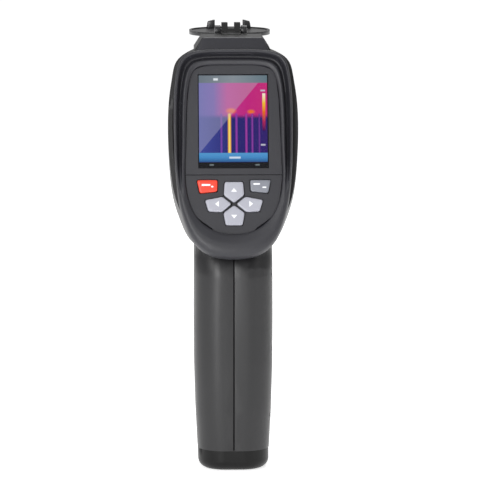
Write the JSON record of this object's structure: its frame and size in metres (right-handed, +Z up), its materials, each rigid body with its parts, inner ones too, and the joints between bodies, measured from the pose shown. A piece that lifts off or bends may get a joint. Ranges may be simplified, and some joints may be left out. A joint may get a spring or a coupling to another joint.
{
  "type": "thermal imaging camera",
  "caption": "Pistol-grip thermal imaging camera with a tilted display, soft keys, a trigger and a flip-up lens cover over the infrared lens.",
  "frame": {"origin": "mouth of the tripod socket, in the middle of the grip base, which the camera stands on", "axes": "+Z up along the grip, -Y towards the user and the display, +Y the way the lens looks, +X to the user's right"},
  "size_m": [0.063, 0.1118, 0.2139],
  "materials": {
    "housing_plastic": "fine textured black plastic",
    "cover_plastic": "satin dark grey plastic",
    "base_plastic": "matt black plastic",
    "black_plastic": "smooth black plastic",
    "red_key": "soft red rubberised key",
    "grey_key": "soft grey rubberised key",
    "light_key": "soft light grey key with a white arrow",
    "window_glass": "clear hard-coated window",
    "screen": "lit colour screen",
    "bracket_steel": "stamped",
    "board_green": "solder mask",
    "silicone": "moulded silicone",
    "ribbon": "polyimide",
    "germanium": "coated germanium",
    "black_metal": "black anodised",
    "lens_glass": "coated",
    "laser_brass": "turned",
    "lamp_clear": "clear epoxy",
    "screw_steel": "zinc plated",
    "insert_brass": "knurled",
    "cell_wrap": "shrink wrap",
    "spring_steel": "bright wire",
    "contact_plate": "nickel plated",
    "soft_rubber": "matt",
    "lead_wire": "insulated wire",
    "cover_shell": "satin black plastic, pale in strong top light"
  },
  "bodies": {
    "body": {"base_screws": "screw_steel", "battery_cell": "cell_wrap", "battery_contact_high": "contact_plate", "battery_contact_low": "contact_plate", "battery_door_pin": "screw_steel", "battery_leads": "lead_wire", "battery_tray": "black_plastic", "buzzer": "black_plastic", "camera_window": "lens_glass", "card_slot": "contact_plate", "cover_hinge_pin": "screw_steel", "detector_core": "black_metal", "display_frame": "cover_plastic", "display_window": "window_glass", "front_bezel": "black_plastic", "germanium_lens": "germanium", "grip_base": "base_plastic", "hinge_block": "black_plastic", "housing_screws": "screw_steel", "keypad_board": "board_green", "keypad_membrane": "silicone", "keypad_panel": "cover_plastic", "lamp_led": "lamp_clear", "laser_module": "laser_brass", "lcd_bracket": "bracket_steel", "lcd_module": "screen", "left_housing": "housing_plastic", "lens_barrel": "black_metal", "lens_retaining_ring": "black_metal", "main_board": "board_green", "memory_card": "black_plastic", "port_board": "board_green", "rear_cover": "cover_plastic", "ribbon_cable": "ribbon", "right_housing": "housing_plastic", "shield_can": "bracket_steel", "side_door_pin": "screw_steel", "trigger_cradle": "black_plastic", "trigger_pin": "screw_steel", "trigger_spring": "spring_steel", "trigger_switch": "black_plastic", "tripod_insert": "insert_brass", "usb_port": "contact_plate", "visible_camera": "black_plastic"},
    "cover": {"lens_cover": "cover_shell", "cover_seal": "soft_rubber"},
    "trigger": {"trigger": "base_plastic"},
    "battery_door": {"battery_door": "housing_plastic"},
    "side_door": {"side_door": "soft_rubber"},
    "up_button": {"up_button": "light_key"},
    "down_button": {"down_button": "light_key"},
    "left_button": {"left_button": "light_key"},
    "right_button": {"right_button": "light_key"},
    "red_button": {"red_button": "red_key"},
    "grey_button": {"grey_button": "grey_key"}
  },
  "joints": [
    {"name": "cover_hinge", "type": "hinge", "parent": "body", "child": "cover", "pos_m": [0, 0.037, 0.21], "axis": [1, 0, 0], "range_deg": [-90, 0]},
    {"name": "trigger_pull", "type": "hinge", "parent": "body", "child": "trigger", "pos_m": [0, 0.012, 0.131], "axis": [1, 0, 0], "range_deg": [-8, 0], "stiffness_Nm_per_rad": 0.2, "springref_deg": 5.73},
    {"name": "battery_door_hinge", "type": "hinge", "parent": "body", "child": "battery_door", "pos_m": [0, 0.0189, 0.021], "axis": [1, 0, 0], "range_deg": [-80, 0]},
    {"name": "side_door_hinge", "type": "hinge", "parent": "body", "child": "side_door", "pos_m": [0.0276, 0.001, 0.135], "axis": [0, 1, 0], "range_deg": [0, 85]},
    {"name": "up_key_press", "type": "slide", "parent": "body", "child": "up_button", "axis": [0, 0.9613, -0.2756], "range_m": [0, 0.0008], "stiffness_N_per_m": 600},
    {"name": "down_key_press", "type": "slide", "parent": "body", "child": "down_button", "axis": [0, 0.9613, -0.2756], "range_m": [0, 0.0008], "stiffness_N_per_m": 600},
    {"name": "left_key_press", "type": "slide", "parent": "body", "child": "left_button", "axis": [0, 0.9613, -0.2756], "range_m": [0, 0.0008], "stiffness_N_per_m": 600},
    {"name": "right_key_press", "type": "slide", "parent": "body", "child": "right_button", "axis": [0, 0.9613, -0.2756], "range_m": [0, 0.0008], "stiffness_N_per_m": 600},
    {"name": "red_key_press", "type": "slide", "parent": "body", "child": "red_button", "axis": [0, 0.9613, -0.2756], "range_m": [0, 0.0008], "stiffness_N_per_m": 600},
    {"name": "grey_key_press", "type": "slide", "parent": "body", "child": "grey_button", "axis": [0, 0.9613, -0.2756], "range_m": [0, 0.0008], "stiffness_N_per_m": 600}
  ]
}
